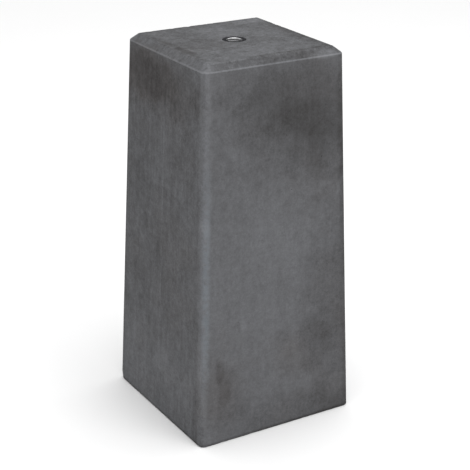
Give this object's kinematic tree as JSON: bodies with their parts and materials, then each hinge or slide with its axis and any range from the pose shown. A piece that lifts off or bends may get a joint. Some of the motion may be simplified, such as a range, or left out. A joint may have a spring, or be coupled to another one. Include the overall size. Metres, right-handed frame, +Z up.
{
  "type": "concrete pier block",
  "caption": "Square tapered concrete pier block with rounded upright corners, a chamfered flat top and a threaded steel socket cast into the middle of its top.",
  "frame": {"origin": "middle of the underside, where the block stands on the ground", "axes": "+Z up along the block's own axis of symmetry, towards the chamfered top; +X and +Y square to two of its flat sides"},
  "size_m": [0.2098, 0.2098, 0.45],
  "materials": {
    "concrete": "cast anthracite concrete, smooth from the mould, matt, with faint vertical streaks and darker damp-looking patches",
    "socket_steel": "bright turned and tapped steel inside, with a blackened rim"
  },
  "bodies": {
    "root": {"concrete_block": "concrete", "threaded_socket": "socket_steel"}
  },
  "joints": []
}
